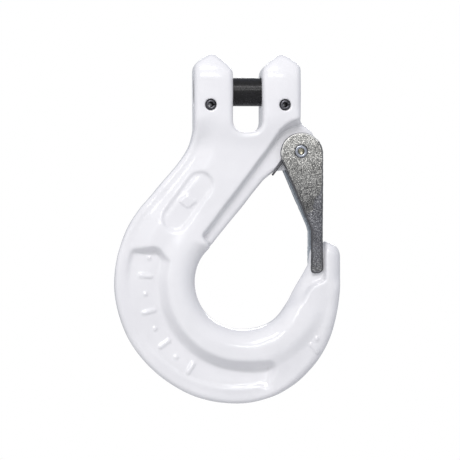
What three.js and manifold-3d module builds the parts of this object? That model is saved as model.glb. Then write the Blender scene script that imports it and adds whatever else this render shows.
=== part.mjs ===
// Clevis sling hook for 10 mm chain, with a sprung cast latch.
// Millimetres. The origin is on the load pin's axis, midway between the two ears.
// +X points from the shank to the tip, +Z up along the chain, and Y runs through the hook's thickness.

import * as THREE from 'three';
import { mergeVertices } from 'three/addons/utils/BufferGeometryUtils.js';
import Module from 'manifold-3d';

// ---- driving dimensions ----

const ARC_STEP = 0.16; // radians of an arc for each straight piece of an outline

const EAR_HALF = 12.5; // half thickness of the clevis ears
const BOWL_HALF = 10.2; // half thickness of the shank, bowl and tip
const RIB_HALF = 11.5; // half thickness of the load-carrying rib round the bowl
const POCKET_HALF = 6.2; // half thickness left under the bowl's pockets
const STRIP_HALF = 6.25; // half thickness where the latch straddles the hook
const OVAL_HALF = 8.8; // half thickness left under the shank's oval pockets
const EAR_EDGE = 3; // edge rounding of the ears
const RIB_EDGE = 4; // edge rounding of the rib
const BODY_EDGE = 6; // edge rounding of the shank and bowl
const POCKET_DRAFT = 1.6; // how far the walls of the bowl's pockets lean out
const STRIP_DRAFT = 1.5;
const OVAL_DRAFT = 1;
const TIP_DRAFT = 0.8;
const SPRING_DRAFT = 0.1;

const SLOT_HALF = 6.6; // half of the gap between the ears
const SLOT_BOTTOM = -18.7;
const SLOT_CORNER = 5; // radius of the slot's lower corners
const SLOT_CORNER_Z = SLOT_BOTTOM + SLOT_CORNER;
const EAR_SIDE = 24.2; // outer side of the right ear, and of the left one mirrored
const EAR_TOP_RADIUS = EAR_HALF; // rounding of the ears' tops, seen from the side
const EAR_TOP = 17.4;

const LOAD_PIN_RADIUS = 6.5;
const LOAD_PIN_HALF = 23.8;
const LOAD_PIN_CHAMFER = 0.8;
const RETAINING_X = 16.8;
const RETAINING_Z = -6.45;
const RETAINING_RADIUS = 2.3;
const RETAINING_BORE = 1.15;
const RETAINING_HALF = 12.2;
const RETAINING_SLIT = 0.35; // half width of the rolled pin's slit
const GROOVE_HALF = 3.1; // half width of the load pin's grooves
const GAP = 0.25; // clearance between a piece and its neighbour

const PIVOT = [24.35, -27.4]; // X and Z of the latch pin
const LATCH_PIN_RADIUS = 2.6;
const LATCH_PIN_BORE = 1.4;
const LATCH_PIN_BORE_DEPTH = 2.4;
const LATCH_PIN_PROUD = 0.45;
const LATCH_PIN_CHAMFER = 0.4;
const LATCH_HALF = 9.5; // half of the latch's outer width
const LATCH_GAP = 6.8; // half of the space between its cheeks
const LATCH_EDGE = 0.8;
const LATCH_HEAD = 9.35; // radius of the latch's head
const HEAD_RIGHT_RADIUS = 9.65; // its radius from the crown to the latch's right side
const HEAD_CENTRE = [PIVOT[0] + 0.1, PIVOT[1] - 0.8];
const LATCH_RIGHT = 34.5;
const ARM_LEFT = 29;
const ARM_END = -82.6;
const ARM_CORNER = 1.3; // rounding and chamfer at the arm's end
const HEAD_TANGENT = 3.557; // where the head's circle meets the arm's slanting side, in radians
const TIP_STOP = LATCH_RIGHT + 0.35; // the wall on the tip that the shut latch bears on
const WEB_INNER = 32.8;
const WEB_TOP = -26.2;
const WEB_BOTTOM = -66.4;

const BOSS_RADIUS = 6.5;
const COIL_RADIUS = 3.85;
const WIRE_RADIUS = 0.45;
const COIL_TURNS = 2.32;
const COIL_FRONT = -6.1; // Y of the coil's first turn
const COIL_BACK = -3.75; // Y of the coil's last turn
const RECESS_HALF = 3; // half thickness left under the spring's recess
const BODY_LEG_ANGLE = 2.498; // where the coil meets the leg that presses on the hook, in radians
const RECESS_START = 0.45; // where the recess's round wall begins, in radians
const RECESS_REACH = 3; // how far the recess runs past the end of that leg
const BODY_LEG = 16.2; // length of the leg on the hook
const LATCH_LEG = 9.2; // length of the leg on the latch's web
const WIRE_SIDES = 6;
const WIRE_STEPS = 64; // straight pieces along the whole wire
const COIL_POINTS = 12; // points of the wire's curve for each turn

const SMALL_SIDES = 20; // sides of the small bores and of the latch pin
const LARGE_SIDES = 32; // sides of the load pin's bore
const LOAD_PIN_SIDES = 28;
const ROUND_SEGMENTS = 10; // straight pieces of a rounded ear top or half a rolled pin
const THROUGH = 40; // longer than any cut is deep
const CLEAR = 5; // how far the latch's channel is cut past its outline

// ---- outlines in X and Z ----

// A corner is [x, z, radius]. A radius bends the side that ends there: above 0 it turns left, below 0 right.
function outline(corners) {
  const points = [];
  corners.forEach(([x, z, radius = 0], i) => {
    const [fromX, fromZ] = corners[(i + corners.length - 1) % corners.length];
    if (radius) points.push(...arc(fromX, fromZ, x, z, radius));
    points.push(new THREE.Vector2(x, z));
  });
  return points;
}

// The points strictly between the two ends of an arc shorter than half a turn.
function arc(x0, z0, x1, z1, radius) {
  const chord = Math.hypot(x1 - x0, z1 - z0);
  const side = Math.sign(radius);
  const rise = Math.sqrt(Math.max(0, radius * radius - (chord * chord) / 4));
  const centreX = (x0 + x1) / 2 - (side * rise * (z1 - z0)) / chord;
  const centreZ = (z0 + z1) / 2 + (side * rise * (x1 - x0)) / chord;
  const start = Math.atan2(z0 - centreZ, x0 - centreX);
  const turn = 2 * side * Math.asin(Math.min(1, chord / (2 * Math.abs(radius))));
  const pieces = Math.max(2, Math.ceil(Math.abs(turn) / ARC_STEP));
  return Array.from({ length: pieces - 1 }, (_, i) => {
    const angle = start + (turn * (i + 1)) / pieces;
    const r = Math.abs(radius);
    return new THREE.Vector2(centreX + r * Math.cos(angle), centreZ + r * Math.sin(angle));
  });
}

function mirrored(corners) {
  const radii = corners.map((corner) => corner[2] ?? 0);
  return corners.map(([x, z], i) => [-x, z, radii[(i + 1) % radii.length]]).reverse();
}

// ---- solids ----

// The outline through the thickness, half to each side of the middle, its edges rounded by edge.
function slab(points, half, edge = 0, steps = 3) {
  const geometry = new THREE.ExtrudeGeometry(new THREE.Shape(points), {
    depth: 2 * (half - edge),
    bevelEnabled: edge > 0,
    bevelSize: edge,
    bevelOffset: -edge,
    bevelThickness: edge,
    bevelSegments: steps,
  });
  return solid(geometry.rotateX(Math.PI / 2).translate(0, half - edge, 0));
}

// A cutter for one face or both: its outline is the floor's, and its walls lean outward by draft.
function pocket(points, floor, draft, faces = [-1, 1]) {
  const rise = 2 * draft;
  const cutters = faces.map((face) => {
    const geometry = new THREE.ExtrudeGeometry(new THREE.Shape(points), {
      depth: THROUGH,
      bevelSize: draft,
      bevelThickness: rise,
      bevelSegments: 1,
    });
    const y = face > 0 ? floor + rise + THROUGH : -floor - rise;
    return solid(geometry.rotateX(Math.PI / 2).translate(0, y, 0));
  });
  return cutters.reduce((all, cutter) => all.add(cutter));
}

function boreAlongY(x, z, radius) {
  return solid(new THREE.CylinderGeometry(radius, radius, 2 * THROUGH, SMALL_SIDES).translate(x, 0, z));
}

function boreAlongX(radius) {
  return solid(new THREE.CylinderGeometry(radius, radius, 2 * THROUGH, LARGE_SIDES).rotateZ(Math.PI / 2));
}

const wasm = await Module();
wasm.setup();

function solid(geometry) {
  const bare = new THREE.BufferGeometry();
  bare.setAttribute('position', geometry.getAttribute('position'));
  bare.setIndex(geometry.getIndex());
  const merged = mergeVertices(bare, 1e-4);
  const vertProperties = Float32Array.from(merged.getAttribute('position').array);
  const triVerts = Uint32Array.from(merged.getIndex().array);
  return new wasm.Manifold(new wasm.Mesh({ numProp: 3, vertProperties, triVerts }));
}

function geometryOf(body) {
  const { vertProperties, triVerts } = body.getMesh();
  const geometry = new THREE.BufferGeometry();
  geometry.setAttribute('position', new THREE.BufferAttribute(vertProperties, 3));
  geometry.setIndex(new THREE.BufferAttribute(triVerts, 1));
  geometry.computeVertexNormals();
  return geometry;
}

const part = new THREE.Group();

function addPiece(name, geometry, material) {
  const mesh = new THREE.Mesh(geometry, new THREE.MeshStandardMaterial(material));
  mesh.name = name;
  part.add(mesh);
}

// ---- hook body: shank, bowl and tip ----

const SHANK_AND_BOWL = [
  [-24, -14],
  [-24.1, -17],
  [-26.3, -25.3, -30],
  [-31.4, -33.2, -60],
  [-48.3, -53.1],
  [-53.35, -113, 54.9],
  [-4.8, -141.9, 56.8],
  [28.6, -127, 46.9],
  [40.9, -102, 51.8],
  [42.7, -77.5, 110],
  [42.7, -75],
  [35.8, -68.1, 6.9],
  [28.9, -75, 6.9],
  [28.5, -78.5],
  [18.9, -95.2],
  [0.7, -108.2, -19.9],
  [-17.5, -101.7, -22.9],
  [-18.9, -73.2, -21.5],
  [7.7, -40.1],
  [11.3, -37.2],
  [13.9, -35.9],
  [18.3, -35.6],
  [21.9, -33.4],
  [PIVOT[0] + BOSS_RADIUS, PIVOT[1], BOSS_RADIUS],
  [29.9, -18.6, 20],
  [24.2, -13.6],
  [24, -12],
];

// The rib runs round the bowl's inner side and is about 13 wide.
const RIB = [
  [-10.3, -61.5],
  [-34, -70.5],
  [-35.2, -102.5, 36.5],
  [-1.8, -121.5, 36],
  [21.2, -112, 34],
  [31, -101],
  [18.9, -95.2],
  [0.7, -108.2, -19.9],
  [-17.5, -101.7, -22.9],
  [-18.9, -73.2, -21.5],
];

// ---- hook body: ears ----

const RIGHT_EAR = [
  [EAR_SIDE, 10.2],
  [22.6, 13.2, 4.6],
  [18.3, 16.5],
  [13.4, 16.5, 3.6],
  [8, 11.2],
  [SLOT_HALF, 7.4, 5],
];

const SLOT = [
  [-SLOT_HALF, SLOT_CORNER_Z],
  [SLOT_CORNER - SLOT_HALF, SLOT_BOTTOM, SLOT_CORNER],
  [SLOT_HALF - SLOT_CORNER, SLOT_BOTTOM],
  [SLOT_HALF, SLOT_CORNER_Z, SLOT_CORNER],
];

const EARS_AND_CROTCH = [
  ...RIGHT_EAR,
  [SLOT_HALF, SLOT_CORNER_Z],
  [SLOT_HALF - SLOT_CORNER, SLOT_BOTTOM, -SLOT_CORNER],
  [SLOT_CORNER - SLOT_HALF, SLOT_BOTTOM],
  [-SLOT_HALF, SLOT_CORNER_Z, -SLOT_CORNER],
  ...mirrored(RIGHT_EAR),
  [-24.1, -16.5],
  [-20, -23],
  [0, -26, 60],
  [13, -23, 60],
  [EAR_SIDE, -13, -40],
];

// Seen from the side, the ears are as wide as they are thick, with round tops.
function earSideProfile() {
  const top = EAR_TOP - EAR_TOP_RADIUS;
  const shape = new THREE.Shape();
  shape.moveTo(-EAR_HALF, -THROUGH);
  shape.lineTo(EAR_HALF, -THROUGH);
  shape.lineTo(EAR_HALF, top);
  shape.absarc(0, top, EAR_TOP_RADIUS, 0, Math.PI, false);
  const geometry = new THREE.ExtrudeGeometry(shape, {
    depth: 2 * THROUGH,
    bevelEnabled: false,
    curveSegments: ROUND_SEGMENTS,
  });
  const alongX = new THREE.Matrix4().makeBasis(
    new THREE.Vector3(0, 1, 0),
    new THREE.Vector3(0, 0, 1),
    new THREE.Vector3(1, 0, 0),
  );
  return solid(geometry.applyMatrix4(alongX).translate(-THROUGH, 0, 0));
}

// ---- hook body: what is cut away from both faces ----

// The latch's cheeks pass over this strip when they swing in along the shank.
const STRIP = [
  [27, -15.6],
  [15.2, -20.2, 14],
  [11.2, -25],
  [-4.6, -45.9],
  [-18.7, -64.4],
  [-19.5, -66.2, 1.6],
  [-14.3, -72],
  [40, -50],
  [40, -14.6],
];

const BOWL_POCKET = [
  [-51.5, -74.2],
  [-50.3, -104, 46],
  [-6, -133.8, 49],
  [8.5, -131.6, 42],
  [9.8, -126.2],
  [-1.8, -126.8, -39],
  [-37.1, -104, -38.8],
  [-39.8, -76.6, -39],
  [-43, -73.4, 3.4],
];

const OVAL_FROM = [-21.6, -42.6];
const OVAL_TO = [-32.7, -57.8];
const OVAL_RADIUS = 5;

function ovalPocket() {
  const length = Math.hypot(OVAL_TO[0] - OVAL_FROM[0], OVAL_TO[1] - OVAL_FROM[1]);
  const acrossX = (-(OVAL_TO[1] - OVAL_FROM[1]) / length) * OVAL_RADIUS;
  const acrossZ = ((OVAL_TO[0] - OVAL_FROM[0]) / length) * OVAL_RADIUS;
  const alongX = ((OVAL_TO[0] - OVAL_FROM[0]) / length) * OVAL_RADIUS;
  const alongZ = ((OVAL_TO[1] - OVAL_FROM[1]) / length) * OVAL_RADIUS;
  return outline([
    [OVAL_FROM[0] + acrossX, OVAL_FROM[1] + acrossZ, -OVAL_RADIUS],
    [OVAL_TO[0] + acrossX, OVAL_TO[1] + acrossZ],
    [OVAL_TO[0] + alongX, OVAL_TO[1] + alongZ, -OVAL_RADIUS],
    [OVAL_TO[0] - acrossX, OVAL_TO[1] - acrossZ, -OVAL_RADIUS],
    [OVAL_FROM[0] - acrossX, OVAL_FROM[1] - acrossZ],
    [OVAL_FROM[0] - alongX, OVAL_FROM[1] - alongZ, -OVAL_RADIUS],
  ]).reverse();
}

// The latch's two fingers rest in these recesses, one on each side of the tip.
const TIP_RECESS = [
  [TIP_STOP, -60],
  [20, -60],
  [20, -92],
  [28.5, -88.2],
  [TIP_STOP, -85.2],
];

// The spring's coil and its leg lie in this recess in the boss's front. Its wall is the leg's stop.
function springRecess() {
  const radius = COIL_RADIUS + WIRE_RADIUS + GAP;
  const wall = [Math.cos(BODY_LEG_ANGLE), Math.sin(BODY_LEG_ANGLE)];
  const wallX = PIVOT[0] + radius * wall[0];
  const wallZ = PIVOT[1] + radius * wall[1];
  const length = BODY_LEG + RECESS_REACH;
  return outline([
    [wallX - length * wall[1], wallZ + length * wall[0]],
    [22, -42],
    [36, -40],
    [36, PIVOT[1] + 2],
    [PIVOT[0] + radius * Math.cos(RECESS_START), PIVOT[1] + radius * Math.sin(RECESS_START)],
    [wallX, wallZ, radius],
  ]);
}

function hookBody() {
  let body = slab(outline(SHANK_AND_BOWL), BOWL_HALF, BODY_EDGE);
  body = body.add(slab(outline(RIB), RIB_HALF, RIB_EDGE));
  const ears = slab(outline(EARS_AND_CROTCH), EAR_HALF, EAR_EDGE);
  body = body.add(ears.intersect(earSideProfile()));
  const slot = [...SLOT, [SLOT_HALF, THROUGH], [-SLOT_HALF, THROUGH]];
  body = body.subtract(slab(outline(slot), THROUGH));
  body = body.subtract(pocket(outline(STRIP), STRIP_HALF, STRIP_DRAFT));
  body = body.subtract(pocket(outline(BOWL_POCKET), POCKET_HALF, POCKET_DRAFT));
  body = body.subtract(pocket(ovalPocket(), OVAL_HALF, OVAL_DRAFT));
  body = body.subtract(pocket(outline(TIP_RECESS), STRIP_HALF, TIP_DRAFT));
  body = body.subtract(pocket(springRecess(), RECESS_HALF, SPRING_DRAFT, [-1]));
  body = body.subtract(boreAlongX(LOAD_PIN_RADIUS + GAP));
  for (const side of [-1, 1]) {
    body = body.subtract(boreAlongY(side * RETAINING_X, RETAINING_Z, RETAINING_RADIUS + GAP));
  }
  return body.subtract(boreAlongY(PIVOT[0], PIVOT[1], LATCH_PIN_RADIUS + GAP));
}

// ---- load pin and retaining pins ----

// Turned about X: two grooves clear the retaining pins, which stop it sliding out but let it turn.
function loadPinGeometry() {
  const groove = -RETAINING_Z - RETAINING_RADIUS - GAP;
  const radius = LOAD_PIN_RADIUS;
  const inner = radius - LOAD_PIN_CHAMFER;
  const halfProfile = [
    [radius, RETAINING_X - GROOVE_HALF],
    [groove, RETAINING_X - GROOVE_HALF],
    [groove, RETAINING_X + GROOVE_HALF],
    [radius, RETAINING_X + GROOVE_HALF],
    [radius, LOAD_PIN_HALF - LOAD_PIN_CHAMFER],
    [inner, LOAD_PIN_HALF],
    [0, LOAD_PIN_HALF],
  ];
  const lower = halfProfile.map(([r, h]) => [r, -h]).reverse();
  const profile = [...lower, ...halfProfile].map(([r, h]) => new THREE.Vector2(r, h));
  return new THREE.LatheGeometry(profile, LOAD_PIN_SIDES).rotateZ(-Math.PI / 2);
}

// A rolled pin: a tube with a slit along it.
function retainingPinGeometry(x) {
  const shape = new THREE.Shape();
  const outerStart = Math.asin(RETAINING_SLIT / RETAINING_RADIUS);
  const innerStart = Math.asin(RETAINING_SLIT / RETAINING_BORE);
  shape.absarc(0, 0, RETAINING_RADIUS, outerStart, 2 * Math.PI - outerStart, false);
  shape.absarc(0, 0, RETAINING_BORE, 2 * Math.PI - innerStart, innerStart, true);
  const geometry = new THREE.ExtrudeGeometry(shape, {
    depth: 2 * RETAINING_HALF,
    bevelEnabled: false,
    curveSegments: ROUND_SEGMENTS,
  });
  return geometry.rotateX(Math.PI / 2).translate(x, RETAINING_HALF, RETAINING_Z);
}

// ---- latch ----

const LATCH = [
  [LATCH_RIGHT, ARM_END + ARM_CORNER],
  [LATCH_RIGHT, HEAD_CENTRE[1]],
  [HEAD_CENTRE[0], HEAD_CENTRE[1] + LATCH_HEAD, HEAD_RIGHT_RADIUS],
  [HEAD_CENTRE[0] - LATCH_HEAD, HEAD_CENTRE[1], LATCH_HEAD],
  [
    HEAD_CENTRE[0] + LATCH_HEAD * Math.cos(HEAD_TANGENT),
    HEAD_CENTRE[1] + LATCH_HEAD * Math.sin(HEAD_TANGENT),
    LATCH_HEAD,
  ],
  [28.6, -61.7],
  [ARM_LEFT, -63.4, 4],
  [ARM_LEFT, ARM_END + ARM_CORNER],
  [ARM_LEFT + ARM_CORNER, ARM_END, ARM_CORNER],
  [LATCH_RIGHT - ARM_CORNER, ARM_END],
];

// What is taken out between the cheeks: all but the web on the outer side.
const CHANNEL = [
  [LATCH_RIGHT + CLEAR, WEB_TOP],
  [LATCH_RIGHT + CLEAR, 0],
  [0, 0],
  [0, ARM_END - CLEAR],
  [LATCH_RIGHT + CLEAR, ARM_END - CLEAR],
  [LATCH_RIGHT + CLEAR, WEB_BOTTOM],
  [WEB_INNER, WEB_BOTTOM],
  [WEB_INNER, WEB_TOP],
];

function latchBody() {
  const cheeks = slab(outline(LATCH), LATCH_HALF, LATCH_EDGE, 2);
  const channel = slab(outline(CHANNEL), LATCH_GAP);
  const bore = boreAlongY(PIVOT[0], PIVOT[1], LATCH_PIN_RADIUS + GAP);
  return cheeks.subtract(channel).subtract(bore);
}

// A rivet with a blind bore in each end.
function latchPinGeometry() {
  const half = LATCH_HALF + LATCH_PIN_PROUD;
  const floor = half - LATCH_PIN_BORE_DEPTH;
  const upper = [
    [LATCH_PIN_RADIUS, half - LATCH_PIN_CHAMFER],
    [LATCH_PIN_RADIUS - LATCH_PIN_CHAMFER, half],
    [LATCH_PIN_BORE, half],
    [LATCH_PIN_BORE, floor],
    [0, floor],
  ];
  const lower = upper.map(([r, h]) => [r, -h]).reverse();
  const profile = [...lower, ...upper].map(([r, h]) => new THREE.Vector2(r, h));
  return new THREE.LatheGeometry(profile, SMALL_SIDES).translate(PIVOT[0], 0, PIVOT[1]);
}

// ---- latch spring ----

// From the leg on the hook, clockwise round the latch pin, to the leg on the latch's web.
function springCurve() {
  const turn = -2 * Math.PI * COIL_TURNS;
  const at = (angle, y) => new THREE.Vector3(
    PIVOT[0] + COIL_RADIUS * Math.cos(angle),
    y,
    PIVOT[1] + COIL_RADIUS * Math.sin(angle),
  );
  const forward = (angle) => new THREE.Vector3(Math.sin(angle), 0, -Math.cos(angle));
  const first = at(BODY_LEG_ANGLE, COIL_FRONT);
  const lastAngle = BODY_LEG_ANGLE + turn;
  const last = at(lastAngle, COIL_BACK);
  const points = [];
  for (const share of [1, 0.66, 0.33]) {
    points.push(first.clone().addScaledVector(forward(BODY_LEG_ANGLE), -BODY_LEG * share));
  }
  const pieces = Math.round(COIL_TURNS * COIL_POINTS);
  for (let i = 0; i <= pieces; i++) {
    const share = i / pieces;
    points.push(at(BODY_LEG_ANGLE + turn * share, THREE.MathUtils.lerp(COIL_FRONT, COIL_BACK, share)));
  }
  for (const share of [0.33, 0.66, 1]) {
    points.push(last.clone().addScaledVector(forward(lastAngle), LATCH_LEG * share));
  }
  return new THREE.CatmullRomCurve3(points, false, 'centripetal');
}

function springGeometry() {
  const section = Array.from({ length: WIRE_SIDES }, (_, i) => {
    const angle = (2 * Math.PI * i) / WIRE_SIDES;
    return new THREE.Vector2(WIRE_RADIUS * Math.cos(angle), WIRE_RADIUS * Math.sin(angle));
  });
  return new THREE.ExtrudeGeometry(new THREE.Shape(section), {
    steps: WIRE_STEPS,
    extrudePath: springCurve(),
  });
}

// ---- assembly ----

const COATED = { color: 0xf2f2f4, roughness: 0.25, metalness: 0 };
const BLACKENED = { color: 0x1d1d20, roughness: 0.45, metalness: 0.6 };
const PIN_STEEL = { color: 0x4a4a50, roughness: 0.4, metalness: 0.9 };
const ROUGH_CAST = { color: 0x85857f, roughness: 0.6, metalness: 0.8 };
const BRIGHT_STEEL = { color: 0xaab0ba, roughness: 0.3, metalness: 0.9 };

addPiece('hook_body', geometryOf(hookBody()), COATED);
addPiece('load_pin', loadPinGeometry(), BLACKENED);
addPiece('retaining_pin_left', retainingPinGeometry(-RETAINING_X), PIN_STEEL);
addPiece('retaining_pin_right', retainingPinGeometry(RETAINING_X), PIN_STEEL);
addPiece('latch', geometryOf(latchBody()), ROUGH_CAST);
addPiece('latch_pin', latchPinGeometry(), BRIGHT_STEEL);
addPiece('latch_spring', springGeometry(), BRIGHT_STEEL);

export default part;
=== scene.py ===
"""The looks of a coated clevis sling hook with a sprung cast latch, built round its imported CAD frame.

The forged hook and the cast latch are skinned from distance fields: a piece is an outline in X and Z, a half
thickness that varies over it and an edge rounding that varies too, less its bores. Fields are in millimetres.
"""

import math

import bpy
import numpy as np
import openvdb
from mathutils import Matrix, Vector


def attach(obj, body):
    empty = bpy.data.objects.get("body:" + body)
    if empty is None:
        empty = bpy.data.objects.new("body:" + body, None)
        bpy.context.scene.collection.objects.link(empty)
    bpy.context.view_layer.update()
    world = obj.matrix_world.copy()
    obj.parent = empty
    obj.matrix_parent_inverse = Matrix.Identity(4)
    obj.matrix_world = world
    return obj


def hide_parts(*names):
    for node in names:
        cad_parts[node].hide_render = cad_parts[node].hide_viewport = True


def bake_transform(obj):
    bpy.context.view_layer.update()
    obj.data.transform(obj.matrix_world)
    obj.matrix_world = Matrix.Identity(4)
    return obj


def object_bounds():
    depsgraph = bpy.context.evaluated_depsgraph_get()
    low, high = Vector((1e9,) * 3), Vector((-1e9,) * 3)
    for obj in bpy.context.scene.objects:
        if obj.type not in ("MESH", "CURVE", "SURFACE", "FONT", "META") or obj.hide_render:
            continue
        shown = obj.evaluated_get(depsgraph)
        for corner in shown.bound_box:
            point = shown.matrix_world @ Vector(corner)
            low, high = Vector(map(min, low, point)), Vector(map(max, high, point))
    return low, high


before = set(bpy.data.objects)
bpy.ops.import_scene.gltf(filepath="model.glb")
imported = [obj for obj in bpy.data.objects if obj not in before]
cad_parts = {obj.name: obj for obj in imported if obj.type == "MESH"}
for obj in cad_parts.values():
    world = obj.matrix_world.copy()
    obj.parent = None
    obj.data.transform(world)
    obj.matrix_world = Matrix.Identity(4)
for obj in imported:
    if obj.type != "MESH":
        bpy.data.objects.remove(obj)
cad_low, cad_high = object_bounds()

MM = 0.001
SEED = 7

# ---- sizes shared with the CAD, in millimetres ----

EAR_SIDE = 24.2
EAR_HALF = 12.5
EAR_MIDDLE = 15.4
EAR_CURVE_START = 4.6
EAR_CURVE_RISE = 15.0
SLOT_HALF = 6.6
SLOT_BOTTOM = -18.7
SLOT_CORNER = 5.0
LOAD_PIN_RADIUS = 6.5
LOAD_PIN_HALF = 23.8
GROOVE_HALF = 3.1
RETAINING_X = 16.8
RETAINING_Z = -6.45
RETAINING_RADIUS = 2.3
RETAINING_BORE = 1.15
RETAINING_SLIT = 0.2
RETAINING_HALF = 12.2
PIVOT_X, PIVOT_Z = 24.35, -27.4
LATCH_PIN_RADIUS = 2.6
LATCH_PIN_PROUD = 0.45
LATCH_PIN_BORE_DEPTH = 2.4
LATCH_PIN_BORE = 1.4
BOSS_RADIUS = 6.5
BORE_GAP = 0.25
STRIP_HALF = 6.25
TIP_STOP = 34.85
RECESS_HALF = 3
RECESS_WALL = 19.2
RECESS_START = 0.45
THROUGH = 40
BOWL_X, BOWL_Z = -1.8, -88.0


# ---- outlines and fields ----


def arc(start, end, radius, step=0.04):
    """The points between start and end on an arc under half a turn; above 0 it turns left, below 0 right."""
    start, end = np.array(start), np.array(end)
    across = end - start
    chord = np.hypot(*across)
    side = np.sign(radius)
    rise = math.sqrt(max(0, radius * radius - chord * chord / 4))
    centre = (start + end) / 2 + side * rise * np.array([-across[1], across[0]]) / chord
    first = math.atan2(*(start - centre)[::-1])
    turn = 2 * side * math.asin(min(1, chord / (2 * abs(radius))))
    count = max(2, math.ceil(abs(turn) / step))
    angles = first + turn * np.arange(1, count) / count
    return [centre + abs(radius) * np.array([math.cos(a), math.sin(a)]) for a in angles]


def outline(corners, closed=True):
    """Points of an outline whose corners are (x, z) or (x, z, radius of the side that ends there)."""
    points = []
    for i, corner in enumerate(corners):
        if len(corner) > 2 and (closed or i):
            points += arc(corners[i - 1][:2], corner[:2], corner[2])
        points.append(np.array(corner[:2], float))
    return np.array(points)


def mirrored(corners):
    radii = [c[2] if len(c) > 2 else None for c in corners]
    turned = []
    for i, (x, z, *_) in enumerate(corners):
        radius = radii[(i + 1) % len(radii)]
        turned.append((-x, z) if radius is None else (-x, z, radius))
    return turned[::-1]


def distance_to_sides(points, x, z, closed=True):
    """Distance from every (x, z) to the sides of a polyline."""
    nearest = np.full(x.shape, np.inf)
    ends = np.roll(points, -1, axis=0) if closed else points[1:]
    for (ax, az), (bx, bz) in zip(points, ends):
        ex, ez = bx - ax, bz - az
        along = np.clip(((x - ax) * ex + (z - az) * ez) / max(ex * ex + ez * ez, 1e-12), 0, 1)
        nearest = np.minimum(nearest, (x - ax - along * ex) ** 2 + (z - az - along * ez) ** 2)
    return np.sqrt(nearest)


def signed_distance(points, x, z):
    """Distance to a closed outline, below 0 inside it."""
    inside = np.zeros(x.shape, bool)
    for (ax, az), (bx, bz) in zip(points, np.roll(points, -1, axis=0)):
        if az != bz:
            crossing = ax + (z - az) / (bz - az) * (bx - ax)
            inside ^= ((az <= z) != (bz <= z)) & (x < crossing)
    return np.where(inside, -1, 1) * distance_to_sides(points, x, z)


def smooth(value, low, high):
    """0 below low, 1 above high and an S-curve between; low may be above high."""
    share = np.clip((value - low) / (high - low), 0, 1)
    return share * share * (3 - 2 * share)


def mix(a, b, share):
    return a + (b - a) * share


def blurred(field, sigma):
    """Gaussian blur along every axis; sigma is in cells."""
    reach = max(1, math.ceil(3 * sigma))
    weights = np.exp(-0.5 * (np.arange(-reach, reach + 1) / sigma) ** 2)
    weights /= weights.sum()
    for axis in range(field.ndim):
        ends = [(reach, reach) if a == axis else (0, 0) for a in range(field.ndim)]
        padded = np.pad(field, ends, mode="edge")
        count = field.shape[axis]
        field = sum(
            w * np.take(padded, np.arange(i, i + count), axis=axis) for i, w in enumerate(weights)
        )
    return field


def rounded_both(a, b, radius):
    """The space inside both a and b, with their edge rounded by radius."""
    outside = np.hypot(np.maximum(a + radius, 0), np.maximum(b + radius, 0))
    return np.minimum(np.maximum(a, b), -radius) + outside


def rounded_cut(body, cutter, radius):
    """body without cutter, with the edge between them rounded by radius."""
    return rounded_both(body, -cutter, radius)


def waves(x, y, z, length, count=7):
    """A smooth uneven surface between about -1 and 1, from plane waves of about this length."""
    rng = np.random.default_rng(SEED)
    total = 0
    for _ in range(count):
        direction = rng.normal(size=3)
        direction *= 2 * math.pi / (length * rng.uniform(0.7, 1.5) * np.linalg.norm(direction))
        total = total + np.sin(direction[0] * x + direction[1] * y + direction[2] * z + rng.uniform(0, 6.28))
    return total / math.sqrt(count)


class Grid:
    """A box of cells in millimetres; x and z are flat maps, and at() gives all three axes."""

    def __init__(self, low, high, cell):
        self.low = np.array(low, float)
        self.cell = cell
        self.axes = [np.arange(a, b + cell, cell) for a, b in zip(low, high)]
        self.x, self.z = np.meshgrid(self.axes[0], self.axes[2], indexing="ij")

    def at(self):
        xs, ys, zs = self.axes
        return xs[:, None, None], ys[None, :, None], zs[None, None, :]

    def deep(self, flat):
        return flat[:, None, :]

    def slope(self, flat):
        """How much longer a step is on the surface flat(x, z) than on the plane."""
        gx, gz = np.gradient(flat, self.cell)
        return np.sqrt(1 + gx**2 + gz**2)

    def skin(self, name, field):
        """A mesh of the field's zero surface, in metres."""
        volume = openvdb.FloatGrid(background=10.0)
        volume.copyFromArray(np.ascontiguousarray(field, dtype=np.float32))
        points, quads = volume.convertToQuads(isovalue=0.0)
        mesh = bpy.data.meshes.new(name)
        mesh.from_pydata((points * self.cell + self.low) * MM, [], quads[:, ::-1])
        mesh.validate()
        mesh.shade_smooth()
        piece = bpy.data.objects.new(name, mesh)
        bpy.context.scene.collection.objects.link(piece)
        return piece


# ---- hook body ----

CELL = 0.55

THROAT = [
    (42.7, -77.5, 110),
    (42.7, -75),
    (35.8, -68.1, 6.9),
    (28.9, -75, 6.9),
    (28.5, -78.5),
    (18.9, -95.2),
    (0.7, -108.2, -19.9),
    (-17.5, -101.7, -22.9),
    (-18.9, -73.2, -21.5),
    (7.7, -40.1),
    (11.3, -37.2),
    (13.9, -35.9),
    (18.3, -35.6),
    (21.9, -33.4),
    (PIVOT_X + BOSS_RADIUS, PIVOT_Z, BOSS_RADIUS),
    (29.9, -18.6, 20),
    (24.2, -13.6),
]
BACK = [
    (24, -12),
    (-24, -14),
    (-24.1, -17),
    (-26.3, -25.3, -30),
    (-31.4, -33.2, -60),
    (-48.3, -53.1),
    (-53.35, -113, 54.9),
    (-4.8, -141.9, 56.8),
    (28.6, -127, 46.9),
    (40.9, -102, 51.8),
]
RIGHT_EAR = [
    (EAR_SIDE, 10.2),
    (22.6, 13.2, 4.6),
    (18.3, 16.5),
    (13.4, 16.5, 3.6),
    (8, 11.2),
    (SLOT_HALF, 7.4, 5),
]
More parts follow.
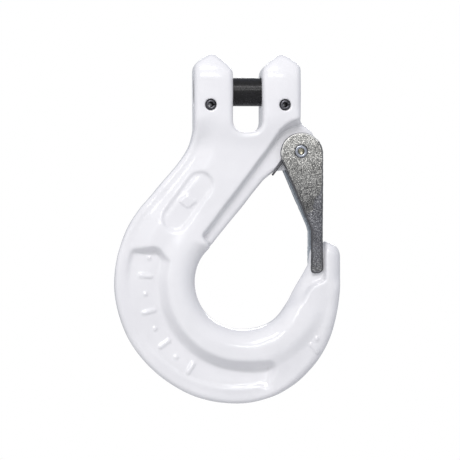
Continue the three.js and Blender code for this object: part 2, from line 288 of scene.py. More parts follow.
EARS = [
    *RIGHT_EAR,
    (SLOT_HALF, SLOT_BOTTOM),
    (-SLOT_HALF, SLOT_BOTTOM),
    *mirrored(RIGHT_EAR),
    (-24.1, -16.5),
    (-20, -23),
    (0, -26, 60),
    (13, -23, 60),
    (EAR_SIDE, -13, -40),
]
SLOT = [
    (-SLOT_HALF, SLOT_BOTTOM + SLOT_CORNER),
    (SLOT_CORNER - SLOT_HALF, SLOT_BOTTOM, SLOT_CORNER),
    (SLOT_HALF - SLOT_CORNER, SLOT_BOTTOM),
    (SLOT_HALF, SLOT_BOTTOM + SLOT_CORNER, SLOT_CORNER),
    (SLOT_HALF, THROUGH),
    (-SLOT_HALF, THROUGH),
]
STRIP = [
    (27, -15.6),
    (15.2, -20.2, 14),
    (11.2, -25),
    (-4.6, -45.9),
    (-18.7, -64.4),
    (-19.5, -66.2, 1.6),
    (-14.3, -72),
    (40, -50),
    (40, -14.6),
]
BOWL_POCKET = [
    (-51.3, -73.7),
    (-50.3, -104, 46),
    (-6, -133.8, 49),
    (8.5, -131.6, 42),
    (9.8, -126.2),
    (-1.8, -126.8, -39),
    (-37.1, -104, -38.8),
    (-39.2, -76.8, -39),
    (-42.2, -72.9, 4.4),
]
TIP_RECESS = [(TIP_STOP, -60), (20, -60), (20, -92), (28.5, -88.2), (TIP_STOP, -85.2)]
OVAL = [(-21.6, -42.6), (-32.7, -57.8)]
OVAL_RADIUS = 5.0
OVAL_DEPTH = 1.3
SPRING_RECESS_RADIUS = 4.55
SPRING_LEG_ANGLE = 2.498

# Half thicknesses.
OUTER_RIM, OUTER_RIM_TIP = 7.7, 9.3
CROWN = 10.3
RIB = 11.6
POCKET_INNER, POCKET_OUTER = 6.0, 7.3

# Edge roundings.
OUTER_EDGE, OUTER_EDGE_TIP = 2.4, 4.4
INNER_EDGE, INNER_EDGE_TIP = 9.4, 6.5
EAR_EDGE = 2.7
STRIP_EDGE = 2.0
LOAD_BORE_EDGE = 0.9
RETAINING_BORE_EDGE = 0.7
SMALL_EDGE = 0.5

UNEVEN = 0.09
MARK_COUNT = 8
MARK_FIRST, MARK_STEP = 164, 10.5
MARK_RADIUS = 44.4
MARK_HALF_LENGTH = 2.4
PIP_HALF_LENGTH = 0.01
MARK_HEIGHT = 0.6
TIP_MARKS = [((29.0, -115.0), (32.0, -118.5)), ((31.6, -112.2), (31.6, -112.3))]
LOZENGE_X, LOZENGE_Z = -27.1, -50.1


def spring_recess():
    wall = np.array([math.cos(SPRING_LEG_ANGLE), math.sin(SPRING_LEG_ANGLE)])
    top = np.array([PIVOT_X, PIVOT_Z]) + SPRING_RECESS_RADIUS * wall
    foot = top + RECESS_WALL * np.array([-wall[1], wall[0]])
    return outline(
        [
            tuple(foot),
            (22, -42),
            (36, -40),
            (36, PIVOT_Z + 2),
            (
                PIVOT_X + SPRING_RECESS_RADIUS * math.cos(RECESS_START),
                PIVOT_Z + SPRING_RECESS_RADIUS * math.sin(RECESS_START),
            ),
            (*top, SPRING_RECESS_RADIUS),
        ]
    )


def hook_outline(x, z):
    """The hook seen from the front: the ears and the bowl together, less the slot."""
    bowl = signed_distance(outline([*THROAT, *BACK]), x, z)
    ears = signed_distance(outline(EARS), x, z)
    slot = signed_distance(outline(SLOT), x, z)
    return np.maximum(np.minimum(bowl, ears), -slot)


def to_edge(side, x, z):
    """Distance to the open run of edge given by its corners."""
    return distance_to_sides(outline(side, closed=False), x, z, closed=False)


def raised_marks(x, z):
    """Plain raised bars and pips where a forging carries its marks: 1 on them and 0 off them."""
    nearest = np.full(x.shape, np.inf)
    for i in range(MARK_COUNT):
        angle = math.radians(MARK_FIRST + MARK_STEP * i)
        out = np.array([math.cos(angle), math.sin(angle)])
        middle = np.array([BOWL_X, BOWL_Z]) + MARK_RADIUS * out
        reach = MARK_HALF_LENGTH if i % 2 else PIP_HALF_LENGTH
        bar = np.array([middle - reach * out, middle + reach * out])
        nearest = np.minimum(nearest, distance_to_sides(bar, x, z, closed=False))
    for mark in TIP_MARKS:
        nearest = np.minimum(nearest, distance_to_sides(np.array(mark), x, z, closed=False))
    lozenge = np.hypot(np.abs(x - LOZENGE_X) / 1.35 + np.abs(z - LOZENGE_Z), 0.6) - 3.0
    return np.maximum(smooth(nearest, 1.15, 0.7), smooth(lozenge, 0.45, 0))


def hook_half_thickness(grid):
    """Half the hook's thickness over its outline: crowned, with a rib round the bowl and its pockets."""
    x, z = grid.x, grid.z
    rim = mix(OUTER_RIM, OUTER_RIM_TIP, smooth(x, 0, 15))
    shank = smooth(z, -86, -70)
    half = mix(rim, CROWN, smooth(to_edge(BACK[1:], x, z), mix(4, 3, shank), mix(16, 12.5, shank)))
    half = mix(half, EAR_HALF, smooth(z, -27, -11))

    from_centre = np.hypot(x - BOWL_X, z - BOWL_Z)
    angle = np.degrees(np.arctan2(z - BOWL_Z, x - BOWL_X))
    angle = np.where(angle < 60, angle + 360, angle)
    rib = smooth(from_centre, 40, 33) * smooth(angle, 112, 160) * smooth(angle, 356, 322)
    half = mix(half, RIB, rib)

    ramp = mix(3.0, 5.2, smooth(from_centre, 41.5, 38.5))
    ramp = mix(ramp, 1.8, smooth(z, -112, -120) * smooth(from_centre, 40, 43))
    ramp = mix(ramp, 4.5, smooth(x, 5, 9))
    ramp = mix(ramp, 2.7, smooth(z, -78, -74))
    from_pocket = signed_distance(outline(BOWL_POCKET), x, z)
    floor_half = mix(POCKET_INNER, POCKET_OUTER, smooth(from_centre, 38, 48) * smooth(z, -70, -94))
    half = mix(floor_half, half, smooth(from_pocket / ramp, -0.1, 1))

    from_oval = distance_to_sides(np.array(OVAL), x, z, closed=False) - OVAL_RADIUS
    half = half - OVAL_DEPTH * smooth(from_oval, 1.5, 0)

    from_strip = signed_distance(outline(STRIP), x, z)
    wall = mix(1.0, 3.2, smooth(x, 8, 20) * smooth(z, -34, -24))
    half = mix(STRIP_HALF, half, smooth(from_strip / wall, -0.05, 1))

    from_recess = signed_distance(outline(TIP_RECESS), x, z)
    wall = mix(7, 0.8, smooth(x, 24, 30))
    half = mix(STRIP_HALF, half, smooth(from_recess / wall, -0.1, 1))

    dome = np.clip((z - EAR_CURVE_START) / EAR_CURVE_RISE, 0, 0.98)
    half = half * np.sqrt(1 - dome**2)
    from_ear_middle = (np.abs(x) - EAR_MIDDLE) / (EAR_SIDE - EAR_MIDDLE)
    half = half - 0.8 * from_ear_middle**2 * smooth(z, -16, -6)
    return blurred(half, 0.8) + MARK_HEIGHT * blurred(raised_marks(x, z), 0.45)


def hook_edge_radius(grid):
    """How far the edges are rounded: most on the bowl's inner side, least on the latch's strip."""
    x, z = grid.x, grid.z
    inner = smooth(to_edge(BACK, x, z) - to_edge(THROAT[4:], x, z), -4, 4)
    inner_radius = mix(INNER_EDGE, INNER_EDGE_TIP, smooth(x, 12, 26))
    outer_radius = mix(OUTER_EDGE, OUTER_EDGE_TIP, smooth(x, 8, 30))
    radius = mix(outer_radius, inner_radius, inner)
    radius = mix(radius, EAR_EDGE, smooth(z, -30, -18))
    from_strip = signed_distance(outline(STRIP), x, z)
    radius = mix(STRIP_EDGE, radius, smooth(from_strip, 0, 6))
    return blurred(radius, 2.0)


def hook_body():
    grid = Grid((-62, -14.5, -145), (45.5, 14.5, 20), CELL)
    x, y, z = grid.at()
    flat = blurred(hook_outline(grid.x, grid.z), 1.3)
    half = hook_half_thickness(grid)
    edge = hook_edge_radius(grid)

    across = (np.abs(y) - grid.deep(half)) / grid.deep(grid.slope(half))
    body = rounded_both(grid.deep(flat), across, grid.deep(edge))
    body = body + UNEVEN * waves(x, y, z, 16)

    load_bore = np.hypot(y, z) - LOAD_PIN_RADIUS - BORE_GAP
    body = rounded_cut(body, load_bore, LOAD_BORE_EDGE)
    for side in (-1, 1):
        bore = np.hypot(x - side * RETAINING_X, z - RETAINING_Z) - RETAINING_RADIUS - BORE_GAP
        body = rounded_cut(body, bore, RETAINING_BORE_EDGE)
    latch_bore = np.hypot(x - PIVOT_X, z - PIVOT_Z) - LATCH_PIN_RADIUS - BORE_GAP
    body = rounded_cut(body, latch_bore, SMALL_EDGE)

    recess = np.maximum(grid.deep(signed_distance(spring_recess(), grid.x, grid.z)), y + RECESS_HALF)
    body = rounded_cut(body, recess, SMALL_EDGE)
    return grid.skin("forged_hook", body)


# ---- latch ----

LATCH_HALF = 9.5
LATCH_GAP = 6.8
LATCH_HEAD = 9.35
HEAD_RIGHT_RADIUS = 9.65
HEAD_X, HEAD_Z = PIVOT_X + 0.1, PIVOT_Z - 0.8
LATCH_RIGHT = 34.5
ARM_LEFT = 29.0
ARM_END = -82.6
ARM_CORNER = 1.3
HEAD_TANGENT = 3.557
LATCH = [
    (LATCH_RIGHT, ARM_END + ARM_CORNER),
    (LATCH_RIGHT, HEAD_Z),
    (HEAD_X, HEAD_Z + LATCH_HEAD, HEAD_RIGHT_RADIUS),
    (HEAD_X - LATCH_HEAD, HEAD_Z, LATCH_HEAD),
    (
        HEAD_X + LATCH_HEAD * math.cos(HEAD_TANGENT),
        HEAD_Z + LATCH_HEAD * math.sin(HEAD_TANGENT),
        LATCH_HEAD,
    ),
    (28.6, -61.7),
    (ARM_LEFT, -63.4, 4),
    (ARM_LEFT, ARM_END + ARM_CORNER),
    (ARM_LEFT + ARM_CORNER, ARM_END, ARM_CORNER),
    (LATCH_RIGHT - ARM_CORNER, ARM_END),
]
WEB = [(32.8, -66.4), (44, -66.4), (44, -26.2), (32.8, -26.2)]
LATCH_CELL = 0.36
ARM_HALF = 8.2
ARM_GAP = 6.5
CHEEK_EDGE = 1.2
CHANNEL_EDGE = 1.0
GRAIN_DEPTH = 0.04


def latch():
    grid = Grid((13.5, -11, -85.5), (36.5, 11, -17.5), LATCH_CELL)
    x, y, z = grid.at()
    flat = blurred(signed_distance(outline(LATCH), grid.x, grid.z), 0.8)
    half = mix(ARM_HALF, LATCH_HALF, smooth(grid.z, -66, -36))
    cheeks = rounded_both(grid.deep(flat), np.abs(y) - grid.deep(half), CHEEK_EDGE)
    cheeks = cheeks + GRAIN_DEPTH * waves(x, y, z, 2.2) + GRAIN_DEPTH * waves(y, z, x, 1.4, 9)

    inner = mix(ARM_GAP, LATCH_GAP, smooth(grid.z, -66, -40))
    web = signed_distance(outline(WEB), grid.x, grid.z)
    channel = rounded_both(grid.deep(-web), np.abs(y) - grid.deep(inner), CHANNEL_EDGE)
    body = rounded_cut(cheeks, channel, 0.4)
    bore = np.hypot(x - PIVOT_X, z - PIVOT_Z) - LATCH_PIN_RADIUS - BORE_GAP
    body = rounded_cut(body, bore, 0.25)
    return grid.skin("cast_latch", body)


# ---- turned pieces ----


def turned(name, profile, axis, centre, sides=96):
    """A profile of (radius, height), which starts and ends on the axis, swept round X or Y."""
    rings = []
    vertices = []
    for radius, height in profile:
        if radius == 0:
            rings.append([len(vertices)] * sides)
            vertices.append((height, 0.0, 0.0))
            continue
        rings.append(list(range(len(vertices), len(vertices) + sides)))
        for i in range(sides):
            a = 2 * math.pi * i / sides
            vertices.append((height, radius * math.cos(a), radius * math.sin(a)))
    faces = []
    for low, high in zip(rings, rings[1:]):
        for i in range(sides):
            j = (i + 1) % sides
            face = [low[i], low[j], high[j], high[i]]
            faces.append(list(dict.fromkeys(face)))
    if axis == "Y":
        vertices = [(u, h, v) for h, u, v in vertices]
    vertices = [tuple((c + d) * MM for c, d in zip(v, centre)) for v in vertices]
    return mesh_piece(name, vertices, faces)


def mesh_piece(name, vertices, faces):
    mesh = bpy.data.meshes.new(name)
    mesh.from_pydata(vertices, [], faces)
    mesh.validate()
    volume = 0.0
    for face in mesh.polygons:
        volume += face.area * face.center.dot(face.normal)
    if volume < 0:
        mesh.flip_normals()
    mesh.shade_smooth()
    piece = bpy.data.objects.new(name, mesh)
    bpy.context.scene.collection.objects.link(piece)
    return piece


def load_pin():
    groove = -RETAINING_Z - RETAINING_RADIUS - BORE_GAP
    radius = LOAD_PIN_RADIUS
    near, far = RETAINING_X - GROOVE_HALF, RETAINING_X + GROOVE_HALF
    half = [
        (radius, 0.0),
        *[(radius, near * share) for share in (0.33, 0.66)],
        (radius, near - 0.4),
        (radius - 0.12, near - 0.12),
        (radius - 0.4, near),
        (groove + 0.6, near),
        (groove + 0.18, near + 0.18),
        (groove, near + 0.6),
        (groove, far - 0.6),
        (groove + 0.18, far - 0.18),
        (groove + 0.6, far),
        (radius - 0.4, far),
        (radius - 0.12, far + 0.12),
        (radius, far + 0.4),
        (radius, LOAD_PIN_HALF - 1.0),
        (radius - 0.12, LOAD_PIN_HALF - 0.75),
        (radius - 0.75, LOAD_PIN_HALF - 0.12),
        (radius - 1.0, LOAD_PIN_HALF),
        (radius * 0.5, LOAD_PIN_HALF),
        (0, LOAD_PIN_HALF),
    ]
    profile = [(r, -h) for r, h in half[:0:-1]] + half
    return turned("turned_load_pin", profile, "X", (0, 0, 0))


def retaining_pin(name, x):
    """A rolled pin: a sprung tube with a slit, its ends chamfered."""
    outer, bore = RETAINING_RADIUS, RETAINING_BORE
    steps = 40
    rows = [
        (outer - 0.5, -RETAINING_HALF),
        (outer - 0.12, -RETAINING_HALF + 0.3),
        (outer, -RETAINING_HALF + 0.8),
        (outer, 0),
        (outer, RETAINING_HALF - 0.8),
        (outer - 0.12, RETAINING_HALF - 0.3),
        (outer - 0.5, RETAINING_HALF),
        (bore + 0.15, RETAINING_HALF),
        (bore, RETAINING_HALF - 0.15),
        (bore, 0),
        (bore, -RETAINING_HALF + 0.15),
        (bore + 0.15, -RETAINING_HALF),
    ]
    vertices, faces = [], []
    for i in range(steps + 1):
        for radius, y in rows:
            start = math.asin(RETAINING_SLIT / radius)
            a = start + (2 * math.pi - 2 * start) * i / steps
            vertices.append(
                ((x + radius * math.cos(a)) * MM, y * MM, (RETAINING_Z + radius * math.sin(a)) * MM)
            )
    count = len(rows)
    for i in range(steps):
        for j in range(count):
            k = (j + 1) % count
            low, high = i * count, (i + 1) * count
            faces.append([low + j, low + k, high + k, high + j])
    faces.append(list(range(count)))
    faces.append(list(range(steps * count, (steps + 1) * count))[::-1])
    return mesh_piece(name, vertices, faces)


def latch_pin():
    """A semi-tubular rivet: its rims stand just proud of the cheeks and its two bores are blind."""
    outer, bore, half = LATCH_PIN_RADIUS, LATCH_PIN_BORE, LATCH_HALF + LATCH_PIN_PROUD
    side = [
        (outer, 0),
        (outer, LATCH_HALF + 0.12),
        (outer + 0.12, LATCH_HALF + 0.14),
        (outer + 0.2, half - 0.2),
        (outer + 0.05, half - 0.05),
        (outer - 0.3, half),
        (bore + 0.45, half),
        (bore + 0.12, half - 0.12),
        (bore, half - 0.45),
        (bore, half - LATCH_PIN_BORE_DEPTH + 0.5),
        (bore - 0.3, half - LATCH_PIN_BORE_DEPTH),
        (0, half - LATCH_PIN_BORE_DEPTH),
    ]
    profile = [(r, -h) for r, h in side[:0:-1]] + side
    return turned("rivet_latch_pin", profile, "Y", (PIVOT_X, 0, PIVOT_Z), sides=64)


# ---- latch spring ----

COIL_RADIUS = 3.85
WIRE_RADIUS = 0.45
COIL_TURNS = 2.32
COIL_FRONT = -6.1
COIL_BACK = -3.75
BODY_LEG = 16.2
LATCH_LEG = 9.2


def spring_route():
    """From the leg on the hook, clockwise round the latch pin, to the leg on the latch's web."""
    turn = -2 * math.pi * COIL_TURNS

    def at(angle, y):
        return Vector(
            (PIVOT_X + COIL_RADIUS * math.cos(angle), y, PIVOT_Z + COIL_RADIUS * math.sin(angle))
        )

    def forward(angle):
        return Vector((math.sin(angle), 0, -math.cos(angle)))

    last = SPRING_LEG_ANGLE + turn
    points = []
    for share in np.linspace(1, 0.04, 14):
        points.append(at(SPRING_LEG_ANGLE, COIL_FRONT) - forward(SPRING_LEG_ANGLE) * BODY_LEG * share)
    pieces = round(COIL_TURNS * 40)
    for i in range(pieces + 1):
        share = i / pieces
        points.append(at(SPRING_LEG_ANGLE + turn * share, mix(COIL_FRONT, COIL_BACK, share)))
    for share in np.linspace(0.06, 1, 9):
        points.append(at(last, COIL_BACK) + forward(last) * LATCH_LEG * share)
    return points


def wire(name, points, radius):
    """A round wire along points, with domed ends."""
    sides = 12
    dome_rise, dome_scale = 0.35, 0.55
    tangents = []
    for i in range(len(points)):
        before, after = points[max(i - 1, 0)], points[min(i + 1, len(points) - 1)]
        tangents.append((after - before).normalized())
    rings = [(points[0] - tangents[0] * radius * dome_rise, tangents[0], dome_scale)]
    rings += [(p, t, 1.0) for p, t in zip(points, tangents)]
    rings.append((points[-1] + tangents[-1] * radius * dome_rise, tangents[-1], dome_scale))
    vertices, faces = [], []
    for centre, tangent, scale in rings:
        side = tangent.cross(Vector((0, 1, 0))).normalized()
        up = side.cross(tangent)
        for i in range(sides):
            a = 2 * math.pi * i / sides
            vertices.append((centre + (side * math.cos(a) + up * math.sin(a)) * radius * scale) * MM)
    for i in range(len(rings) - 1):
        for j in range(sides):
            k = (j + 1) % sides
            faces.append([i * sides + j, i * sides + k, (i + 1) * sides + k, (i + 1) * sides + j])
    faces.append(list(range(sides))[::-1])
    faces.append(list(range((len(rings) - 1) * sides, len(rings) * sides)))
    return mesh_piece(name, vertices, faces)


# ---- materials ----

# Where the latch's tones change, in millimetres.
TONGUE_X, TONGUE_Z = 28.3, -55.0
TONGUE_SLANT = 1.97
RAGGED = 14
DRIFT_Z = -52
WEAR_Z = -76
INSIDE_HALF = 7.2
BORE_TONE_RADIUS = 1.45

LIGHT_CAST = [(0.36, (0.1, 0.1, 0.098)), (0.5, (0.28, 0.28, 0.27)), (0.66, (0.66, 0.65, 0.62))]
DARK_CAST = [(0.36, (0.144, 0.146, 0.155)), (0.52, (0.3, 0.304, 0.324)), (0.68, (0.7, 0.7, 0.7))]
CAST_DRIFT = (0.47, 0.47, 0.48), (1.32, 1.32, 1.3)
# Edge tones for the latch: painted shade on most edges, and a painted highlight on edges that face up and
# left.
RIM_PAINTED_SHADE = (0.12, 0.12, 0.125)
RIM_PAINTED_HIGHLIGHT = (0.92, 0.91, 0.87)
# A lighter bluish tone for the latch's inner faces: a painted reflection that lifts the shade inside the
# channel.
INNER_FACES_PAINTED_REFLECTION = (0.42, 0.46, 0.50)


def set_stops(band, stops):
    """Colours or grey levels of a colour ramp, at places from 0 to 1."""
    while len(band.elements) < len(stops):
        band.elements.new(0.5)
    for element, (place, colour) in zip(band.elements, stops):
        grey = not isinstance(colour, tuple)
        element.position = place
        element.color = (colour, colour, colour, 1) if grey else (*colour, 1)


class Shader:
    """A Principled material with short calls for the nodes that drive it."""

    def __init__(self, name, **values):
        self.material = bpy.data.materials.new(name)
        self.material.use_nodes = True
        self.tree = self.material.node_tree
        self.principled = self.tree.nodes["Principled BSDF"]
        coordinates = self.add("ShaderNodeTexCoord")
        self.position = coordinates.outputs["Object"]
        self.facing = coordinates.outputs["Normal"]
        for key, value in values.items():
            self.socket(key).default_value = value

    def socket(self, key):
        name = "IOR" if key == "ior" else key.replace("_", " ").title()
        return self.principled.inputs[name]

    def add(self, kind, **settings):
        node = self.tree.nodes.new(kind)
        for key, value in settings.items():
            setattr(node, key, value)
        return node

    def link(self, output, target):
        self.tree.links.new(output, target)

    def noise(self, scale, detail=4.0, roughness=0.55):
        node = self.add("ShaderNodeTexNoise")
        node.inputs["Scale"].default_value = scale
        node.inputs["Detail"].default_value = detail
        node.inputs["Roughness"].default_value = roughness
        self.link(self.position, node.inputs["Vector"])
        return node.outputs["Fac"]

    def ramp(self, value, stops):
        node = self.add("ShaderNodeValToRGB")
        set_stops(node.color_ramp, stops)
        self.link(value, node.inputs["Fac"])
        return node.outputs["Color"]

    def math(self, operation, a, b):
        node = self.add("ShaderNodeMath", operation=operation)
        for socket, value in zip(node.inputs, (a, b)):
            if isinstance(value, (int, float)):
                socket.default_value = value
            else:
                self.link(value, socket)
        return node.outputs[0]

    def multiply(self, a, b):
        return self.math("MULTIPLY", a, b)

    def rise(self, value, start, gain):
        """0 at start and growing by gain for each unit past it, held between 0 and 1; gain may be below 0."""
        node = self.add("ShaderNodeClamp")
        self.link(self.multiply(self.math("SUBTRACT", value, start), gain), node.inputs["Value"])
        return node.outputs[0]

    def parts(self, vector):
        node = self.add("ShaderNodeSeparateXYZ")
        self.link(vector, node.inputs[0])
        return node.outputs

    def blend(self, share, a, b, how="MIX"):
        node = self.add("ShaderNodeMix", data_type="RGBA", blend_type=how)
        factor, first, second = node.inputs[0], node.inputs[6], node.inputs[7]
        for socket, value in ((factor, share), (first, a), (second, b)):
            if isinstance(value, (int, float)):
                socket.default_value = value
            elif isinstance(value, tuple):
                socket.default_value = (*value, 1)
            else:
                self.link(value, socket)
        return node.outputs[2]

    def bump(self, height, strength, distance, before=None):
        node = self.add("ShaderNodeBump")
        node.inputs["Strength"].default_value = strength
        node.inputs["Distance"].default_value = distance
        self.link(height, node.inputs["Height"])
        if before is not None:
            self.link(before, node.inputs["Normal"])
        return node.outputs["Normal"]

    def drive(self, **sockets):
        for key, output in sockets.items():
            self.link(output, self.socket(key))
        return self.material


def coated_steel():
    """Glossy white powder coat: faint mottling and a fine orange-peel surface."""
    s = Shader("coated_steel", ior=1.5, coat_weight=0.25, coat_roughness=0.12)
    tone = s.ramp(s.noise(45, 3), [(0.3, (0.735, 0.733, 0.756)), (0.7, (0.775, 0.773, 0.794))])
    gloss = s.ramp(s.noise(160, 3), [(0.3, 0.14), (0.7, 0.22)])
    peel = s.bump(s.noise(900, 2), 0.12, 0.00008)
    ripple = s.bump(s.noise(140, 2), 0.2, 0.0003, peel)
    return s.drive(base_color=tone, roughness=gloss, normal=ripple)


def blackened_steel():
    """Near-black oxide with a fine grain."""
    s = Shader("blackened_steel", ior=1.4)
    tone = s.ramp(s.noise(900, 5), [(0.35, (0.001, 0.001, 0.0015)), (0.7, (0.007, 0.0065, 0.0085))])
    gloss = s.ramp(s.noise(700, 4), [(0.3, 0.22), (0.7, 0.34)])
    grain = s.bump(s.noise(1500, 3), 0.2, 0.00004)
    return s.drive(base_color=tone, roughness=gloss, normal=grain)


def pin_steel():
    """Dark spring steel of the rolled pins."""
    s = Shader("pin_steel", metallic=0.9)
    tone = s.ramp(s.noise(600, 4), [(0.3, (0.045, 0.045, 0.05)), (0.7, (0.13, 0.13, 0.145))])
    gloss = s.ramp(s.noise(800, 3), [(0.3, 0.28), (0.7, 0.45)])
    grain = s.bump(s.noise(1800, 3), 0.3, 0.00008)
    return s.drive(base_color=tone, roughness=gloss, normal=grain)


def cast_faces(s, grain, right, height, drift):
    """The cast outer faces: light above a ragged tongue and dark on the arm, worn lighter at its end."""
    ragged = s.multiply(s.math("SUBTRACT", s.noise(260, 3), 0.5), RAGGED * MM)
    slant = s.multiply(s.math("SUBTRACT", right, TONGUE_X * MM), TONGUE_SLANT)
    above = s.math("SUBTRACT", s.math("SUBTRACT", height, TONGUE_Z * MM), slant)
    head = s.rise(s.math("ADD", above, ragged), 0.0, 2500.0)
    light = s.ramp(grain, LIGHT_CAST)
    tone = s.blend(head, s.ramp(grain, DARK_CAST), light)
    tone = s.blend(1.0, tone, s.blend(drift, *CAST_DRIFT), "MULTIPLY")
    wear = s.rise(height, WEAR_Z * MM, -150.0)
    tone = s.blend(s.multiply(wear, 0.35), tone, light)
    patches = s.ramp(s.noise(210, 2), [(0.36, 0.8), (0.58, 1.15)])
    return s.blend(1.0, tone, patches, "MULTIPLY")


def rough_cast_steel():
    """Investment-cast steel: a sugary grain outside and a darker arm. The edges are smooth, with a painted
    highlight up and left on the head and painted shade on the other edges. The smooth inner faces carry a
    lighter bluish painted reflection.
    """
    s = Shader("rough_cast_steel", metallic=0.9)
    right, across, height = s.parts(s.position)
    normal_x, normal_y, normal_z = s.parts(s.facing)
    grain = s.noise(1700, 3, 0.6)
    drift = s.rise(height, DRIFT_Z * MM, 36.0)
    tone = cast_faces(s, grain, right, height, drift)

    facing = s.math("ABSOLUTE", normal_y, 0.0)
    outward = s.rise(normal_x, 0.6, 5.0)
    elsewhere = s.math("SUBTRACT", 1.0, outward)
    inside = s.rise(s.math("ABSOLUTE", across, 0.0), INSIDE_HALF * MM, -4000.0)
    inside = s.multiply(inside, elsewhere)
    edge = s.multiply(s.rise(facing, 0.965, -12.0), elsewhere)
    # The rounded edges get painted light by their facing: a painted highlight where they face up and left on
    # the head, fading out down the arm with drift, and painted shade on the other edges, except those that
    # face right.
    upper_left = s.math("SUBTRACT", normal_z, s.multiply(normal_x, 0.5))
    lit = s.multiply(s.rise(upper_left, 0.05, 6.0), s.rise(facing, 0.45, 6.0))
    rim = s.blend(s.multiply(lit, drift), RIM_PAINTED_SHADE, RIM_PAINTED_HIGHLIGHT)
    tone = s.blend(edge, tone, rim)
    # The inner faces of the cheeks and web take a lighter bluish tone, a painted reflection over the shade in
    # the channel; their finish is also smoother.
    tone = s.blend(inside, tone, INNER_FACES_PAINTED_REFLECTION)

    plain = s.math("MAXIMUM", inside, edge)
    gloss = s.ramp(s.noise(400, 3), [(0.3, 0.3), (0.7, 0.46)])
    rough = s.multiply(grain, s.math("SUBTRACT", 1.0, s.multiply(plain, 0.85)))
    normal = s.bump(rough, 0.8, 0.0006)
    return s.drive(base_color=tone, roughness=gloss, normal=normal)


def bright_steel():
    """Plated rivet, slightly blue, with fine scuffs; its bores are a dull straw colour."""
    s = Shader("bright_steel", metallic=1.0)
    middle = s.add("ShaderNodeVectorMath", operation="MULTIPLY_ADD")
    s.link(s.position, middle.inputs[0])
    middle.inputs[1].default_value = (1, 0, 1)
    middle.inputs[2].default_value = (-PIVOT_X * MM, 0, -PIVOT_Z * MM)
    radius = s.add("ShaderNodeVectorMath", operation="LENGTH")
    s.link(middle.outputs["Vector"], radius.inputs[0])
    bore = s.rise(radius.outputs["Value"], BORE_TONE_RADIUS * MM, -9000.0)
    plated = s.ramp(s.noise(500, 4), [(0.3, (0.27, 0.29, 0.335)), (0.7, (0.42, 0.44, 0.49))])
    tone = s.blend(bore, plated, (0.44, 0.42, 0.33))
    gloss = s.ramp(s.noise(900, 3), [(0.3, 0.22), (0.7, 0.38)])
    scuffs = s.bump(s.noise(1600, 4), 0.3, 0.0001)
    return s.drive(base_color=tone, roughness=gloss, normal=scuffs)


def spring_wire():
    """Drawn spring wire, dull and dark."""
    s = Shader("spring_wire", metallic=0.95)
    tone = s.ramp(s.noise(700, 4), [(0.3, (0.06, 0.06, 0.065)), (0.7, (0.16, 0.16, 0.17))])
    gloss = s.ramp(s.noise(900, 3), [(0.3, 0.3), (0.7, 0.45)])
    draw = s.bump(s.noise(2200, 2), 0.3, 0.00006)
    return s.drive(base_color=tone, roughness=gloss, normal=draw)


def pale_floor():
    s = Shader("pale_floor", roughness=0.7)
    tone = s.ramp(s.noise(6, 2), [(0.3, (0.58, 0.58, 0.585)), (0.7, (0.61, 0.61, 0.615))])
    return s.drive(base_color=tone)


# ---- camera, floor and light ----

CAMERA_DISTANCE = 1.0
CAMERA_AZIMUTH = math.radians(-4.3)
FRAME_WIDTH = 0.2099
SENSOR = 36.0
AIM = Vector((-0.0073, 0, -0.063))


def camera():
    data = bpy.data.cameras.new("camera")
    data.sensor_width = SENSOR
    data.lens = SENSOR * CAMERA_DISTANCE / FRAME_WIDTH
    piece = bpy.data.objects.new("camera", data)
    back = Vector((math.sin(CAMERA_AZIMUTH), -math.cos(CAMERA_AZIMUTH), 0))
    piece.location = AIM + back * CAMERA_DISTANCE
    piece.rotation_mode = "QUATERNION"
    piece.rotation_quaternion = (-back).to_track_quat("-Z", "Y")
    bpy.context.scene.collection.objects.link(piece)
    bpy.context.scene.camera = piece


FLOOR_DROP = 0.15
FLOOR_RADIUS = 0.9


def floor(lowest):
    """A round pale table below the hanging hook, just under the camera's view."""
    sides, rings = 128, 8
    vertices = [(0.0, 0.0, lowest - FLOOR_DROP)]
    faces = []
    for ring in range(1, rings + 1):
        for i in range(sides):
            a = 2 * math.pi * i / sides
            reach = FLOOR_RADIUS * ring / rings
            vertices.append((reach * math.cos(a), reach * math.sin(a), lowest - FLOOR_DROP))
    for i in range(sides):
        j = (i + 1) % sides
        faces.append((0, 1 + i, 1 + j))
        for ring in range(rings - 1):
            low, high = 1 + ring * sides, 1 + (ring + 1) * sides
            faces.append((low + i, high + i, high + j, low + j))
    mesh = bpy.data.meshes.new("floor")
    mesh.from_pydata(vertices, [], faces)
    mesh.materials.append(pale_floor())
    piece = bpy.data.objects.new("floor", mesh)
    bpy.context.scene.collection.objects.link(piece)


def area_light(name, place, size, power, colour=(1, 1, 1)):
    data = bpy.data.lights.new(name, "AREA")
    data.shape = "RECTANGLE"
    data.size, data.size_y = size
    data.energy = power
    data.color = colour
    piece = bpy.data.objects.new(name, data)
    piece.location = place
    piece.rotation_mode = "QUATERNION"
    piece.rotation_quaternion = (AIM - Vector(place)).to_track_quat("-Z", "Y")
    bpy.context.scene.collection.objects.link(piece)


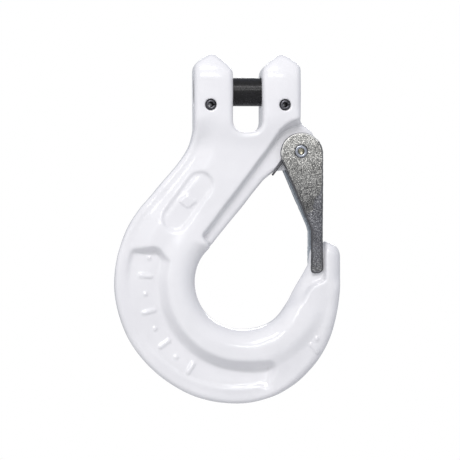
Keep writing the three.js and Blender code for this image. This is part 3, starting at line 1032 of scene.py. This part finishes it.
def room():
    """A room that is brightest above left of the camera, which itself sees plain white behind the hook."""
    world = bpy.data.worlds.new("room")
    bpy.context.scene.world = world
    world.use_nodes = True
    tree = world.node_tree
    nodes, links = tree.nodes, tree.links
    nodes.clear()
    coordinates = nodes.new("ShaderNodeTexCoord")
    towards = nodes.new("ShaderNodeVectorMath")
    towards.operation = "DOT_PRODUCT"
    towards.inputs[1].default_value = Vector((-0.3, -0.85, 0.4)).normalized()
    links.new(coordinates.outputs["Generated"], towards.inputs[0])
    share = nodes.new("ShaderNodeMapRange")
    share.inputs["From Min"].default_value = -1
    links.new(towards.outputs["Value"], share.inputs["Value"])
    band = nodes.new("ShaderNodeValToRGB")
    stops = [
        (0.0, (0.56, 0.57, 0.6)),
        (0.3, (0.5, 0.52, 0.57)),
        (0.5, (0.46, 0.49, 0.57)),
        (0.72, (0.66, 0.67, 0.69)),
        (1.0, (0.76, 0.76, 0.76)),
    ]
    set_stops(band.color_ramp, stops)
    links.new(share.outputs[0], band.inputs["Fac"])
    lit = nodes.new("ShaderNodeBackground")
    links.new(band.outputs["Color"], lit.inputs["Color"])
    seen = nodes.new("ShaderNodeBackground")
    seen.inputs["Color"].default_value = (1, 1, 1, 1)
    path = nodes.new("ShaderNodeLightPath")
    choose = nodes.new("ShaderNodeMixShader")
    links.new(path.outputs["Is Camera Ray"], choose.inputs[0])
    links.new(lit.outputs[0], choose.inputs[1])
    links.new(seen.outputs[0], choose.inputs[2])
    output = nodes.new("ShaderNodeOutputWorld")
    links.new(choose.outputs[0], output.inputs[0])


def lights():
    area_light("front_softbox", (-0.15, -1.25, 0.42), (0.7, 0.14), 2.4)
    area_light("top_softbox", (-0.2, -0.8, 0.68), (0.5, 0.08), 5.0, (1, 0.98, 1))
    area_light("left_softbox", (-1.1, -0.6, 0.1), (0.2, 0.8), 0.6, (0.95, 0.97, 1))
    area_light("back_softbox", (0.25, 1.2, 0.45), (0.8, 0.3), 4.0)


# ---- assembly ----


def place(piece, node, body, slot, material):
    piece.data.materials.append(material)
    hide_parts(node)
    if body:
        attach(piece, body)


bpy.context.scene.view_settings.view_transform = "Standard"
camera()
floor(cad_low.z)
room()
lights()

place(hook_body(), "hook_body", "hook", "coated_steel", coated_steel())
place(load_pin(), "load_pin", "load_pin", "blackened_steel", blackened_steel())
dark_pin = pin_steel()
for side, x in (("left", -RETAINING_X), ("right", RETAINING_X)):
    pin = retaining_pin(f"rolled_pin_{side}", x)
    place(pin, f"retaining_pin_{side}", "hook", "pin_steel", dark_pin)
place(latch(), "latch", "latch", "rough_cast_steel", rough_cast_steel())
place(latch_pin(), "latch_pin", "hook", "bright_steel", bright_steel())
spring = wire("torsion_spring", spring_route(), WIRE_RADIUS)
place(spring, "latch_spring", None, "spring_wire", spring_wire())
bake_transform(spring)
